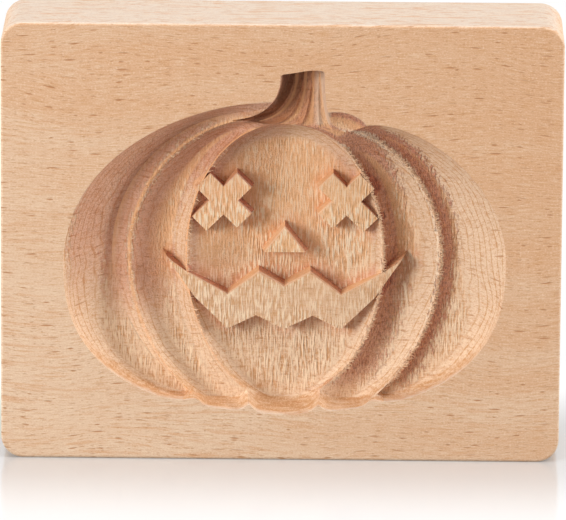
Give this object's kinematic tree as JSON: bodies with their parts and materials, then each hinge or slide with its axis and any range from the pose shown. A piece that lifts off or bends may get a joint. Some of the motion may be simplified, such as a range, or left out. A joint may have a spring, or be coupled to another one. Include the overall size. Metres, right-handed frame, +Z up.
{
  "type": "cookie stamp",
  "caption": "Rectangular beech block with a pumpkin face carved into one side, pressed onto dough to stamp a cookie.",
  "frame": {"origin": "middle of the long edge face that the block stands on", "axes": "+Z up along the block's height, +X to the right along its width, and the carved face looks towards -Y"},
  "size_m": [0.1, 0.02, 0.08],
  "materials": {
    "beech": "bare sanded beech, machine carved"
  },
  "bodies": {
    "root": {"stamp_block": "beech"}
  },
  "joints": []
}
